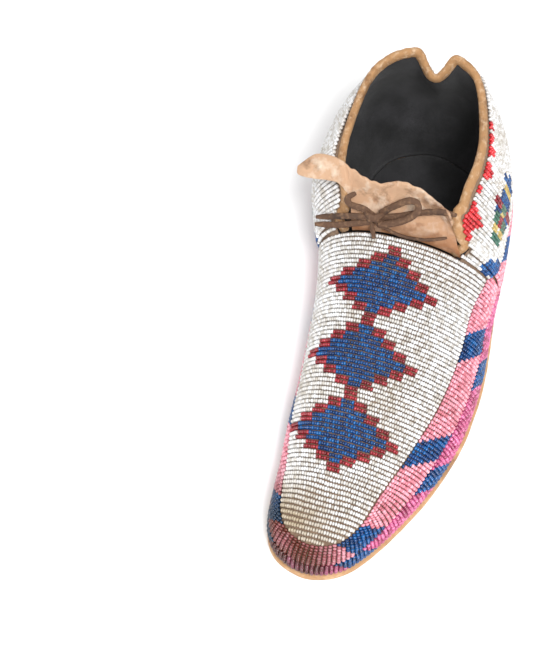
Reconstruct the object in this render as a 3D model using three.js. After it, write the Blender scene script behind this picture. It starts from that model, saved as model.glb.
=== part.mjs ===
// A beaded soft-leather moccasin with a rawhide sole, for the left foot.
// Millimetres, +Z up, toe towards -Y, heel towards +Y, little-toe side towards +X.
// The origin lies on the underside of the sole, below the middle of the instep.
import * as THREE from 'three';
import { mergeVertices } from 'three/addons/utils/BufferGeometryUtils.js';

// ---- driving dimensions -------------------------------------------------
const SOLE_THICKNESS = 3.5;
const SOLE_MARGIN = 3.2; // how far the rawhide stands out past the upper
const GAP = 0.3; // clearance kept between neighbouring pieces
const UPPER_BASE = SOLE_THICKNESS + GAP;
const INSOLE_THICKNESS = 2;

const HIDE = { inner: -2.0, outer: -0.6 }; // offsets from the fitted surface
const LINING = { inner: -4.4, outer: -2.45 };
const LINING_HEM = 2; // how far above the sole the lining starts
const BEADS = { inner: -0.1, outer: 1.5 };

const THROAT_Y = 42; // the vamp stops here and the tongue begins
const TOE_FOCUS_Y = -88; // profiles of the toe cap fan out from here
const HEEL_FOCUS_Y = 108; // profiles of the heel fan out from here
const LANE_HEIGHT_MEDIAL = 10; // one of the two border lanes, measured up the side
const LANE_HEIGHT_LATERAL = 16.5;
const LANE_HEIGHT_AT_TOE = 12;
const MEDIAL_FULLNESS = 4.5; // how much more the big-toe side of the ankle bellies out, above the border
const BINDING_RADIUS = 2.6;
const PROFILE_POWER = 2.3; // roundness of the cross-section
const VAMP_LEAN = 11; // how far the instep leans towards the big-toe side
const VAMP_LEAN_HEIGHT = 45; // at this height

// Half-outline rows from heel to toe: [y, x on the big-toe side, x on the little-toe side].
const OUTLINE = [
  [140, -4.5, -4.5],
  [132, -26.3, 18.7],
  [118, -37.1, 31.6],
  [94, -42.8, 40.5],
  [62, -43.5, 45.5],
  [28, -42, 49.5],
  [-8, -39, 51.2],
  [-42, -37, 47.7],
  [-72, -37, 38.5],
  [-98, -37, 25.8],
  [-118, -34.6, 13.1],
  [-129, -27.2, 1.9],
  [-133.5, -13, -13],
];
const TOE = OUTLINE.length - 1;
const HEEL_POINT = new THREE.Vector2(OUTLINE[0][1], OUTLINE[0][0]);
const MEDIAL = -1;
const LATERAL = 1;

// Height of the ridge that both sides rise to: [y, x, z]. Past the throat it is cut away.
const RIDGE = [
  [-133, -8, 30],
  [-88, -6, 34],
  [-60, -4, 38],
  [-30, -3, 43],
  [0, -3, 48],
  [22, -3, 51],
  [43, -3, 57],
  [45, -3, 73],
  [50, -3, 86],
  [60, -3, 101],
  [80, -3, 112],
  [140, -5, 114],
];

// Height of the collar's top edge: [y, z on the big-toe side, z on the little-toe side].
const COLLAR = [
  [42, 49, 50],
  [46, 59, 61],
  [50, 70, 72],
  [55, 74, 75],
  [65, 75, 75],
  [80, 77, 77],
  [110, 80, 80],
  [140, 88, 88],
];
const NOTCH_DEPTH = 12;
const NOTCH_REACH = 8; // how far the notch is pushed in towards the foot
const NOTCH_WIDTH = 9;

// ---- small maths --------------------------------------------------------
function smooth(from, to, value) {
  const t = Math.min(Math.max((value - from) / (to - from), 0), 1);
  return t * t * (3 - 2 * t);
}

function lookUp(table, key, column) {
  const rows = table[0][0] < table[table.length - 1][0] ? table : [...table].reverse();
  if (key <= rows[0][0]) return rows[0][column];
  for (let i = 1; i < rows.length; i += 1) {
    if (key > rows[i][0]) continue;
    const t = (key - rows[i - 1][0]) / (rows[i][0] - rows[i - 1][0]);
    return rows[i - 1][column] + t * (rows[i][column] - rows[i - 1][column]);
  }
  return rows[rows.length - 1][column];
}

function spread(from, to, steps) {
  return Array.from({ length: steps + 1 }, (_, i) => from + ((to - from) * i) / steps);
}

// ---- the fitted surface of the upper ------------------------------------
// A place on it is (side, station, climb): the station runs 0 at the heel to TOE, and the
// climb runs 0 at the sole to 1 at the ridge. Past either end a station carries on round
// to the other side.
function outlineRow(index, side) {
  if (index < 0) return outlineRow(-index, -side);
  if (index > TOE) return outlineRow(2 * TOE - index, -side);
  const row = OUTLINE[index];
  return new THREE.Vector2(side === MEDIAL ? row[1] : row[2], row[0]);
}

function outlinePoint(side, station) {
  const start = Math.floor(station);
  const t = station - start;
  const [a, b, c, d] = [-1, 0, 1, 2].map((step) => outlineRow(start + step, side));
  const along = (p, q, r, s) =>
    0.5 * (2 * q + (r - p) * t + (2 * p - 5 * q + 4 * r - s) * t * t + (3 * q - p - 3 * r + s) * t ** 3);
  return new THREE.Vector2(along(a.x, b.x, c.x, d.x), along(a.y, b.y, c.y, d.y));
}

function outlineNormal(side, station) {
  const ahead = outlinePoint(side, station + 0.01);
  const behind = outlinePoint(side, station - 0.01);
  const run = ahead.sub(behind).normalize();
  return side === MEDIAL ? new THREE.Vector2(run.y, -run.x) : new THREE.Vector2(-run.y, run.x);
}

function surfacePoint(side, station, climb) {
  const foot = outlinePoint(side, station);
  const out = outlineNormal(side, station);
  const focusY = Math.min(Math.max(foot.y, TOE_FOCUS_Y), HEEL_FOCUS_Y);
  const ridgeX = lookUp(RIDGE, focusY, 1);
  const ridgeZ = lookUp(RIDGE, focusY, 2);
  const angle = (climb * Math.PI) / 2;
  const inward = climb >= 1 ? 1 : 1 - Math.cos(angle) ** (2 / PROFILE_POWER);
  const rise = Math.sin(angle) ** (2 / PROFILE_POWER);
  const z = UPPER_BASE + (ridgeZ - UPPER_BASE) * rise;
  const ankle = smooth(10, 80, foot.y);
  const height = Math.min(z / 78, 1.2);
  const round = Math.sin(Math.PI * Math.min((z - UPPER_BASE) / (45 + 25 * ankle), 1));
  const flare = ankle * (6 * Math.max(out.x, 0) + 4 * Math.max(-out.x, 0)) * Math.min(height, 1);
  const medialBelly = (3 + MEDIAL_FULLNESS * smooth(14, 34, z)) * ankle * Math.max(-out.x, 0);
  const fullness = 2.5 + 4.5 * ankle + medialBelly;
  const bulge = (fullness * round + flare) * (1 - climb ** 8);
  const vampLean = VAMP_LEAN * smooth(-110, -50, focusY) * (1 - smooth(10, 60, focusY));
  const ankleLean = 15 * smooth(0, 75, focusY) - 5 * smooth(105, 140, foot.y);
  const lean = (-vampLean * (z - UPPER_BASE)) / VAMP_LEAN_HEIGHT - ankleLean * height ** 1.3;
  const fromSeam = foot.distanceTo(HEEL_POINT) / NOTCH_WIDTH;
  const notch = -NOTCH_REACH * Math.exp(-(fromSeam ** 2)) * smooth(40, 75, z);
  const back = 17 * smooth(60, 120, foot.y) * height ** 1.2 + notch;
  const tuck = side === LATERAL ? 6 * smooth(95, 62, foot.y) * smooth(43, 56, foot.y) * height ** 2 : 0;
  return new THREE.Vector3(
    foot.x + (ridgeX - foot.x) * inward + out.x * bulge + lean - tuck,
    foot.y + (focusY - foot.y) * inward + out.y * bulge + back,
    z,
  );
}

function surfaceNormal(side, station, climb) {
  if (climb > 0.999) return new THREE.Vector3(0, 0, 1);
  if (climb < 0.03) {
    const out = outlineNormal(side, station);
    return new THREE.Vector3(out.x, out.y, 0);
  }
  const low = climb - 0.01;
  const up = surfacePoint(side, station, low + 0.02).sub(surfacePoint(side, station, low));
  const ahead = surfacePoint(side, station + 0.02, climb).sub(surfacePoint(side, station - 0.02, climb));
  const normal = side === MEDIAL ? ahead.cross(up) : up.cross(ahead);
  return normal.normalize();
}

function place(side, station, climb) {
  return { point: surfacePoint(side, station, climb), normal: surfaceNormal(side, station, climb) };
}

// The climb reached after going a distance up the surface from a starting climb.
function climbAfter(side, station, from, distance) {
  const step = distance < 0 ? -0.01 : 0.01;
  let left = Math.abs(distance);
  let climb = from;
  let here = surfacePoint(side, station, climb);
  while (climb + step >= 0 && climb + step <= 1) {
    const next = surfacePoint(side, station, climb + step);
    const run = next.distanceTo(here);
    if (run >= left) return climb + (step * left) / run;
    left -= run;
    climb += step;
    here = next;
  }
  return Math.min(Math.max(climb, 0), 1);
}

function climbAtHeight(station, side, z) {
  const focusY = Math.min(Math.max(outlinePoint(side, station).y, TOE_FOCUS_Y), HEEL_FOCUS_Y);
  const rise = (z - UPPER_BASE) / (lookUp(RIDGE, focusY, 2) - UPPER_BASE);
  return (Math.asin(Math.min(rise, 1) ** (PROFILE_POWER / 2)) * 2) / Math.PI;
}

function collarClimb(side, station) {
  const foot = outlinePoint(side, station);
  const dip = NOTCH_DEPTH * Math.exp(-((foot.distanceTo(HEEL_POINT) / NOTCH_WIDTH) ** 2));
  const z = lookUp(COLLAR, foot.y, side === MEDIAL ? 1 : 2) - dip;
  return climbAtHeight(station, side, z);
}

function stationAt(side, y) {
  let [low, high] = [0, TOE];
  while (high - low > 1e-6) {
    const middle = (low + high) / 2;
    if (outlinePoint(side, middle).y > y) low = middle;
    else high = middle;
  }
  return low;
}

const THROAT = stationAt(MEDIAL, THROAT_Y);
const SEAM_STATION = 0.12; // where the panels stop short of the heel seam
const HEEL_TO_THROAT = [0, SEAM_STATION, 0.28, 0.5, 0.8, 1.2, 1.8, 2.5, 3.2, 3.7, 4, 4.25, 4.48, THROAT];
const THROAT_TO_TOE = [...spread(THROAT, TOE - 2, 9), TOE - 1.4, TOE - 0.9, TOE - 0.45, TOE];

// ---- thick sheets -------------------------------------------------------
// Cells are quads of { point, normal }. The sheet is given its thickness along the normals
// and a wall round every open edge.
function thickSheet(cells, { inner, outer }) {
  const corners = [];
  const seen = new Map();
  const cornerId = ({ point, normal }) => {
    const key = point.toArray().map((value) => value.toFixed(3)).join();
    if (!seen.has(key)) {
      seen.set(key, corners.length);
      corners.push({ point, normal });
    }
    return seen.get(key);
  };
  const faces = [];
  for (const cell of cells) {
    const [a, b, c, d] = cell.map(cornerId);
    faces.push([a, b, c], [a, c, d]);
  }
  const solidFaces = faces.filter(([a, b, c]) => a !== b && b !== c && c !== a);
  const edges = new Set(solidFaces.flatMap(([a, b, c]) => [`${a},${b}`, `${b},${c}`, `${c},${a}`]));
  const count = corners.length;
  const index = [];
  for (const [a, b, c] of solidFaces) {
    index.push(a, b, c, c + count, b + count, a + count);
  }
  for (const edge of edges) {
    const [a, b] = edge.split(',').map(Number);
    if (edges.has(`${b},${a}`)) continue;
    index.push(b, a, a + count, b, a + count, b + count);
  }
  const layer = (offset) =>
    corners.flatMap(({ point, normal }) => point.clone().addScaledVector(normal, offset).toArray());
  const geometry = new THREE.BufferGeometry();
  geometry.setAttribute('position', new THREE.Float32BufferAttribute([...layer(outer), ...layer(inner)], 3));
  geometry.setIndex(index);
  geometry.computeVertexNormals();
  return geometry;
}

// Quads of one side's stretch of the upper, between stations, at the climbs each station lists.
function patch(side, stations, climbs) {
  const columns = stations.map((station) => climbs(side, station).map((climb) => place(side, station, climb)));
  const cells = [];
  for (let i = 1; i < columns.length; i += 1) {
    for (let j = 1; j < columns[i].length; j += 1) {
      const [a, b] = [columns[i - 1][j - 1], columns[i][j - 1]];
      const [c, d] = [columns[i][j], columns[i - 1][j]];
      cells.push(side === MEDIAL ? [a, b, c, d] : [a, d, c, b]);
    }
  }
  return cells;
}

function bothSides(stations, climbs) {
  return [...patch(MEDIAL, stations, climbs), ...patch(LATERAL, stations, climbs)];
}

// ---- rows of the upper, measured up from the sole ------------------------
const EDGE_BELOW_COLLAR = 2 * BINDING_RADIUS + 1.8;
const EXTRA_AT_THROAT = 4.5; // the collar falls steeply here, so the edge keeps further below it
const ROWS_BELOW_EDGE = 3;
const ROWS_TO_RIDGE = 4;

function laneHeight(side, station) {
  const y = outlinePoint(side, station).y;
  const full = side === MEDIAL ? LANE_HEIGHT_MEDIAL : LANE_HEIGHT_LATERAL;
  const share = smooth(-132, -80, y) * smooth(140, 120, y);
  return LANE_HEIGHT_AT_TOE + (full - LANE_HEIGHT_AT_TOE) * share;
}

function laneClimbs(side, station, lane, gap) {
  const height = laneHeight(side, station);
  const reach = [lane * height + gap, (lane + 0.5) * height, (lane + 1) * height - gap];
  return reach.map((distance) => climbAfter(side, station, 0, distance));
}

function borderTop(side, station, gap = 0) {
  return climbAfter(side, station, 0, 2 * laneHeight(side, station) + gap);
}

function hideEdge(side, station) {
  const extra = EXTRA_AT_THROAT * smooth(58, 50, outlinePoint(side, station).y);
  return climbAfter(side, station, collarClimb(side, station), -EDGE_BELOW_COLLAR - extra);
}

// The line that carries the throat's corner on along the vamp, a share of the way from the
// border to the ridge. Both sides come to the same share at the toe, where they meet.
const CORNER_SHARE_AT_TOE = 0.3;

function cornerLine(side, station) {
  const throatTop = borderTop(side, THROAT);
  const shareAtThroat = (hideEdge(side, THROAT) - throatTop) / (1 - throatTop);
  const forward = (station - THROAT) / (TOE - THROAT);
  const share = shareAtThroat + (CORNER_SHARE_AT_TOE - shareAtThroat) * forward;
  const top = borderTop(side, station);
  return top + share * (1 - top);
}

function sideRows(side, station, gap) {
  const corner = station < THROAT ? hideEdge(side, station) : cornerLine(side, station);
  const rows = spread(borderTop(side, station), corner, ROWS_BELOW_EDGE);
  rows[0] = borderTop(side, station, gap);
  return rows;
}

function vaultRows(side, station, gap) {
  const ridge = spread(cornerLine(side, station), 1, ROWS_TO_RIDGE).slice(1);
  return [...sideRows(side, station, gap), ...ridge];
}

// ---- hide upper and lining ----------------------------------------------
function footCover(layer, hem) {
  const lanes = (side, station) => [
    climbAfter(side, station, 0, hem),
    ...laneClimbs(side, station, 0, 0).slice(1),
    ...laneClimbs(side, station, 1, 0).slice(1),
  ];
  const wall = (side, station) => [...lanes(side, station), ...sideRows(side, station, 0).slice(1)];
  const vault = (side, station) => [...lanes(side, station), ...vaultRows(side, station, 0).slice(1)];
  return thickSheet([...bothSides(HEEL_TO_THROAT, wall), ...bothSides(THROAT_TO_TOE, vault)], layer);
}

// ---- sole, insole and the sinew that sews them --------------------------
function outlineRing(offset) {
  const stations = spread(0, TOE, 2 * TOE);
  const ring = (side) =>
    stations.map((station) => outlinePoint(side, station).addScaledVector(outlineNormal(side, station), offset));
  return [...ring(MEDIAL), ...ring(LATERAL).reverse().slice(1, -1)];
}

function flatPiece(offset, bottom, thickness) {
  const shape = new THREE.Shape(outlineRing(offset));
  const geometry = new THREE.ExtrudeGeometry(shape, { depth: thickness, bevelEnabled: false });
  return geometry.translate(0, 0, bottom);
}

function tube(points, radius, { closed = false, steps = 3 * points.length, sides = 8 } = {}) {
  const curve = new THREE.CatmullRomCurve3(points, closed, 'catmullrom', 0.5);
  const section = new THREE.Shape(new THREE.EllipseCurve(0, 0, radius, radius).getPoints(sides).slice(0, -1));
  return new THREE.ExtrudeGeometry(section, { steps, extrudePath: curve });
}

const SINEW_RADIUS = 0.5;

function sinewRing() {
  const ring = outlineRing(HIDE.inner - SINEW_RADIUS - 2 * GAP);
  const route = ring.map((spot) => new THREE.Vector3(spot.x, spot.y, UPPER_BASE + SINEW_RADIUS));
  return tube(route, SINEW_RADIUS, { closed: true, steps: 64, sides: 6 });
}

// ---- beadwork panels ----------------------------------------------------
const PANEL_GAP = 0.25;
const THROAT_GAP = 0.02; // in stations

function borderLane(lane) {
  const stations = [...HEEL_TO_THROAT.slice(1), ...THROAT_TO_TOE.slice(1)];
  return thickSheet(bothSides(stations, (side, station) => laneClimbs(side, station, lane, PANEL_GAP)), BEADS);
}

function vampPanel() {
  const stations = [THROAT + THROAT_GAP, ...THROAT_TO_TOE.slice(1)];
  return thickSheet(bothSides(stations, (side, station) => vaultRows(side, station, PANEL_GAP)), BEADS);
}

function anklePanel(side) {
  const stations = HEEL_TO_THROAT.slice(1, -1);
  return thickSheet(patch(side, stations, (_, station) => sideRows(side, station, PANEL_GAP)), BEADS);
}

// A buckskin strip laid over the heel seam between the panels.
function heelSeamStrip() {
  const rows = (side, station) => [
    ...laneClimbs(side, station, 0, 1),
    ...laneClimbs(side, station, 1, 0).slice(1),
    ...sideRows(side, station, 0).slice(1),
  ];
  return thickSheet(bothSides([0, SEAM_STATION - 0.03], rows), { inner: 0, outer: 1 });
}

// ---- collar binding -----------------------------------------------------
function collarBinding() {
  const stations = HEEL_TO_THROAT.slice(0, -1);
  const middle = (HIDE.outer + LINING.inner) / 2;
  const rim = (side) =>
    stations.map((station) => {
      const climb = climbAfter(side, station, collarClimb(side, station), -BINDING_RADIUS);
      const { point, normal } = place(side, station, climb);
      return point.addScaledVector(normal, middle);
    });
  const route = [...rim(MEDIAL).reverse(), ...rim(LATERAL).slice(1)];
  return tube(route, BINDING_RADIUS, { steps: 64 });
}

// ---- tongue -------------------------------------------------------------
const TONGUE_LAYER = { inner: -0.7, outer: 0.7 };
const TONGUE_BACK = 2.2; // how far behind the vamp's cut edge it starts
const TONGUE_SUNK = 1.5; // and how far below its top
const TONGUE_FACING = new THREE.Vector3(0, -0.88, 0.48);
// Each column of the tongue rises from a climb along the throat to a point on its top edge.
const TONGUE_COLUMNS = [
  { side: MEDIAL, climb: 0.7, top: [-42, 61, 83] },
  { side: MEDIAL, climb: 0.8, top: [-34, 60, 82] },
  { side: MEDIAL, climb: 0.92, top: [-26, 59, 81] },
  { side: MEDIAL, climb: 1, top: [-17, 61, 83] },
  { side: LATERAL, climb: 0.92, top: [-9, 61, 84] },
  { side: LATERAL, climb: 0.8, top: [1, 59, 80] },
  { side: LATERAL, climb: 0.68, top: [10, 57, 76.5] },
];
const TONGUE_ROWS = 4;
const TONGUE_BELLY = 1.5;
// The torn lobe that hangs out over the big-toe side: pairs of lower and upper corners.
const LOBE = [
  [[-49, 53, 79], [-52, 63, 86]],
  [[-60, 51, 79], [-62, 63, 85]],
  [[-70, 54, 76], [-71, 58, 78]],
];

function tonguePoint({ side, climb, top }, row) {
  const rise = row / TONGUE_ROWS;
  const base = surfacePoint(side, THROAT, climb).add(new THREE.Vector3(0, TONGUE_BACK, -TONGUE_SUNK));
  const point = base.lerp(new THREE.Vector3(...top), rise);
  point.y -= TONGUE_BELLY * Math.sin(Math.PI * rise);
  return point;
}

function tongue() {
  const corner = (point) => ({ point, normal: TONGUE_FACING });
  const rows = spread(0, TONGUE_ROWS, TONGUE_ROWS);
  const grid = TONGUE_COLUMNS.map((column) => rows.map((row) => corner(tonguePoint(column, row))));
  const cells = [];
  for (let i = 1; i < grid.length; i += 1) {
    for (let j = 1; j <= TONGUE_ROWS; j += 1) {
      cells.push([grid[i - 1][j - 1], grid[i][j - 1], grid[i][j], grid[i - 1][j]]);
    }
  }
  let [lower, upper] = [grid[0][TONGUE_ROWS - 1], grid[0][TONGUE_ROWS]];
  for (const pair of LOBE) {
    const [nextLower, nextUpper] = pair.map((spot) => corner(new THREE.Vector3(...spot)));
    cells.push([nextLower, lower, upper, nextUpper]);
    [lower, upper] = [nextLower, nextUpper];
  }
  return thickSheet(cells, TONGUE_LAYER);
}

// ---- tie thong ----------------------------------------------------------
const THONG_RADIUS = 1.4;
const THIN_THONG_RADIUS = 0.9;
const KNOT_CENTRE = [-25, 45.2, 66.8];
const KNOT_SIZE = [4.6, 2.9, 4.2];

function tieKnot() {
  const knot = new THREE.SphereGeometry(1, 12, 8).scale(...KNOT_SIZE);
  const tilt = Math.atan2(TONGUE_FACING.z, -TONGUE_FACING.y);
  return knot.rotateX(-tilt).translate(...KNOT_CENTRE);
}

// Strands of the thong, each ending just clear of the knot or lying free.
const THONGS = {
  tie_strand_medial: [
    [-37.5, 52, 74], [-41, 49.5, 71.5], [-39.5, 47.5, 69.5], [-35, 46.6, 69.6], [-31, 46.2, 69.4],
  ],
  tie_strand_lateral: [
    [13, 51.8, 76.6], [7, 51.4, 75.4], [-3, 49.6, 72.6], [-11, 47.8, 69.2], [-19.4, 46.4, 66.6],
  ],
  tie_loop: [
    [-20.3, 47.5, 70.6], [-15, 49, 76], [-9, 50.5, 80.5], [-4.5, 50, 81], [-3, 46.8, 79],
    [-6.5, 44, 74.5], [-12.5, 42.4, 70], [-18.6, 42.3, 66],
  ],
  tie_end_upper: [[-30.6, 43.8, 65.8], [-37, 43.8, 64], [-46, 43, 61], [-56, 41.8, 58]],
  tie_end_lower: [[-30, 43, 61.8], [-35, 42.6, 59.4], [-42, 41.4, 56.8], [-49, 40.4, 55.4], [-56, 39.6, 54.2]],
  tie_end_short: [[-25, 41.6, 61.6], [-24, 39.4, 60.8], [-22.5, 36, 59.6]],
};
const THIN_THONG = [
  [-21.4, 42.6, 62.4], [-17, 42.6, 61.4], [-11, 41.4, 60.6], [-3, 41.2, 60.4], [6, 42.4, 61], [15, 45, 63],
];

// ---- finishes and assembly ----------------------------------------------
const FINISH = {
  rawhide: { color: 0xb98a57, roughness: 0.75 },
  hide: { color: 0xc79a6b, roughness: 0.9 },
  buckskin: { color: 0xd9a679, roughness: 0.9 },
  thong: { color: 0x7a5a41, roughness: 0.85 },
  felt: { color: 0x1c1b1e, roughness: 1 },
  sinew: { color: 0xd8c9a4, roughness: 0.6 },
  whiteBeads: { color: 0xe4e2da, roughness: 0.3 },
  pinkBeads: { color: 0xd9829b, roughness: 0.3 },
  magentaBeads: { color: 0xc4568f, roughness: 0.3 },
};

const moccasin = new THREE.Group();

function add(name, geometry, finish) {
  geometry.deleteAttribute('normal');
  if (geometry.getAttribute('uv')) geometry.deleteAttribute('uv');
  const body = mergeVertices(geometry, 1e-4);
  body.computeVertexNormals();
  const material = new THREE.MeshStandardMaterial({ ...FINISH[finish], metalness: 0 });
  const piece = new THREE.Mesh(body, material);
  piece.name = name;
  moccasin.add(piece);
}

function points(route) {
  return route.map((spot) => new THREE.Vector3(...spot));
}

add('sole', flatPiece(SOLE_MARGIN, 0, SOLE_THICKNESS), 'rawhide');
add('insole', flatPiece(LINING.inner - 0.6, UPPER_BASE, INSOLE_THICKNESS), 'felt');
add('upper', footCover(HIDE, 0), 'hide');
add('lining', footCover(LINING, LINING_HEM), 'felt');
add('sole_sinew', sinewRing(), 'sinew');
add('border_beadwork_lower', borderLane(0), 'magentaBeads');
add('border_beadwork_upper', borderLane(1), 'pinkBeads');
add('vamp_beadwork', vampPanel(), 'whiteBeads');
add('ankle_beadwork_medial', anklePanel(MEDIAL), 'whiteBeads');
add('ankle_beadwork_lateral', anklePanel(LATERAL), 'whiteBeads');
add('heel_seam_strip', heelSeamStrip(), 'buckskin');
add('collar_binding', collarBinding(), 'buckskin');
add('tongue', tongue(), 'buckskin');
add('tie_knot', tieKnot(), 'thong');
for (const [name, route] of Object.entries(THONGS)) {
  add(name, tube(points(route), THONG_RADIUS), 'thong');
}
add('tie_strand_thin', tube(points(THIN_THONG), THIN_THONG_RADIUS), 'thong');

export default moccasin;
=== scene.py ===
"""A beaded hide moccasin with a rawhide sole: the looks, built around the fixed frame."""
import math

import bmesh
import bpy
import numpy as np
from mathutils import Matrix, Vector, noise


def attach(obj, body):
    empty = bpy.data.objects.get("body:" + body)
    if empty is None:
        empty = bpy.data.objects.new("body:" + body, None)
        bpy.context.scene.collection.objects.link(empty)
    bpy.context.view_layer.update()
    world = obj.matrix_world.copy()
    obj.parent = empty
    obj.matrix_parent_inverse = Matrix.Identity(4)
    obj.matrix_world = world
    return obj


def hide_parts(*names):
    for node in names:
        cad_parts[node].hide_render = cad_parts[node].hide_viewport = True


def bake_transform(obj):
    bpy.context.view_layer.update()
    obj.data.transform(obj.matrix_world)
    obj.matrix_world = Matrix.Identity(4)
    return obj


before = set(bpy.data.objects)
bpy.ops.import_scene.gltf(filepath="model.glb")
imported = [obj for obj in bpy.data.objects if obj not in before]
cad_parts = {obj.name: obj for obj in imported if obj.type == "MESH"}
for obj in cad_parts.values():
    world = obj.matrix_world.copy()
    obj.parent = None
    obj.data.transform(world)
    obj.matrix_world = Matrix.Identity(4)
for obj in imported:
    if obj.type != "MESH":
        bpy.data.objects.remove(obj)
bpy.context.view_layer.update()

# ---- Camera, floor and light ----------------------------------------------------------
# The shoe stands on a pale table, seen from the toe end and above, with the light of a
# big soft window from the upper right and a weaker fill from the left.
MM = 0.001
LOOK_AT = Vector((-72, 0, 0)) * MM
CAMERA_TURN = math.radians(16)
CAMERA_RISE = math.radians(62)
CAMERA_DISTANCE = 0.72

toward_camera = Vector((
    math.sin(CAMERA_TURN) * math.cos(CAMERA_RISE),
    -math.cos(CAMERA_TURN) * math.cos(CAMERA_RISE),
    math.sin(CAMERA_RISE),
))
bpy.ops.object.camera_add(location=LOOK_AT + toward_camera * CAMERA_DISTANCE)
camera = bpy.context.object
camera.rotation_euler = (-toward_camera).to_track_quat("-Z", "Y").to_euler()
camera.data.lens = 70
camera.data.sensor_width = 36
bpy.context.scene.camera = camera


def soft_light(name, place, size, power):
    """A square light that faces the shoe."""
    bpy.ops.object.light_add(type="AREA", location=place)
    light = bpy.context.object
    light.name = name
    light.data.size = size
    light.data.energy = power
    light.rotation_euler = Vector(place).to_track_quat("Z", "Y").to_euler()
    return light


soft_light("window_light", (0.3, -0.45, 1.0), 0.45, 14.5)
soft_light("fill_light", (-0.8, -0.3, 0.7), 0.9, 2.5)

world = bpy.data.worlds.new("studio")
bpy.context.scene.world = world
world.use_nodes = True
world.node_tree.nodes["Background"].inputs["Color"].default_value = (1, 1, 1, 1)
world.node_tree.nodes["Background"].inputs["Strength"].default_value = 0.75
bpy.context.scene.view_settings.view_transform = "Standard"

bpy.ops.mesh.primitive_plane_add(size=6, location=(0, 0, -0.0002))
floor = bpy.context.object
floor.name = "table_top"
floor_paint = bpy.data.materials.new("table_paint")
floor_paint.use_nodes = True
floor_shader = floor_paint.node_tree.nodes["Principled BSDF"]
floor_shader.inputs["Base Color"].default_value = (0.92, 0.92, 0.92, 1)
floor_shader.inputs["Roughness"].default_value = 0.9
floor.data.materials.append(floor_paint)

# ---- Tie thong ------------------------------------------------------------------------
# One greased hide thong, cut flat and drawn through slits in the two ankle flaps. It is
# tied over the tongue in a half bow: two ends point left, one loop stands to the right.
THONG_WIDTH = 3.8
THONG_THICKNESS = 1.7
KNOT = (-25, 45.2, 66.8)
LATERAL_ROUTE = [
    (17, 52.2, 75), (13, 51.6, 76), (7, 51.4, 75.4), (-3, 49.6, 72.6), (-11, 47.8, 69.2),
    (-19.4, 46.4, 66.6), (-25, 45.2, 66.4), (-30.6, 43.8, 65.8), (-37, 43.8, 64), (-46, 43, 61),
    (-56, 41.8, 58),
]
MEDIAL_ROUTE = [
    (-37.5, 52, 74), (-41, 49.5, 71.5), (-39.5, 47.5, 69.5), (-35, 46.6, 69.6), (-31, 46.2, 69.4),
    (-26, 44.8, 67.2), (-27, 43.4, 63.4), (-30, 43, 61.8), (-35, 42.6, 59.4), (-42, 41.4, 56.8),
    (-49, 40.4, 55.4), (-56, 39.6, 54.2),
]
LOOP_ROUTE = [
    (-22.5, 46.6, 68.6), (-20.3, 47.5, 70.6), (-15, 49, 76), (-9, 50.5, 80.5), (-4.5, 50, 81),
    (-3, 46.8, 79), (-6.5, 44, 74.5), (-12.5, 42.4, 70), (-18.6, 42.3, 66), (-22, 42.6, 64.6),
]
THIN_ROUTE = [
    (-24, 43.6, 64), (-21.4, 42.6, 62.4), (-17, 42.6, 61.4), (-11, 41.4, 60.6), (-3, 41.2, 60.4),
    (6, 42.4, 61), (15, 45, 63),
]
SHORT_ROUTE = [(-25, 43, 63.6), (-25, 41.6, 61.6), (-24, 39.4, 60.8), (-22.5, 36, 59.6)]
KNOT_ROUTE = [
    (-5.2, 0.8, 1.4), (-2.2, -2.2, 2.6), (1.6, -2.8, 1.2), (3.2, -0.6, -1.8), (1.2, 1.6, -3),
    (-2, 0.8, -2.4), (-3, -1.8, -0.6), (-1, -3, 1.6), (2.2, -1.6, 2.8), (4.6, 1, 2),
]


def between(a, b, c, d, t):
    """The Catmull-Rom curve from b to c, with a before them and d after."""
    return 0.5 * (2 * b + (c - a) * t + (2 * a - 5 * b + 4 * c - d) * t ** 2
                  + (3 * b - a - 3 * c + d) * t ** 3)


def smooth_route(points, per_span=8):
    """A smooth curve through points in millimetres, as an array."""
    held = np.array([points[0], *points, points[-1]], float)
    spans = [held[i - 1: i + 3] for i in range(1, len(held) - 2)]
    curve = [between(*span, t) for span in spans for t in np.arange(per_span) / per_span]
    return np.array([*curve, held[-1]])


def unit(v):
    return v / np.maximum(np.linalg.norm(v, axis=-1, keepdims=True), 1e-9)


def distances_along(points):
    """How far along a line of points each one is."""
    return np.r_[0, np.cumsum(np.linalg.norm(np.diff(points, axis=0), axis=1))]


def finish_mesh(name, verts, faces):
    """A mesh object at the origin, from points in millimetres."""
    mesh = bpy.data.meshes.new(name)
    mesh.from_pydata((np.asarray(verts) * MM).tolist(), [], faces)
    mesh.update()
    piece = bpy.data.objects.new(name, mesh)
    bpy.context.collection.objects.link(piece)
    for polygon in mesh.polygons:
        polygon.use_smooth = True
    return piece


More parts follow.
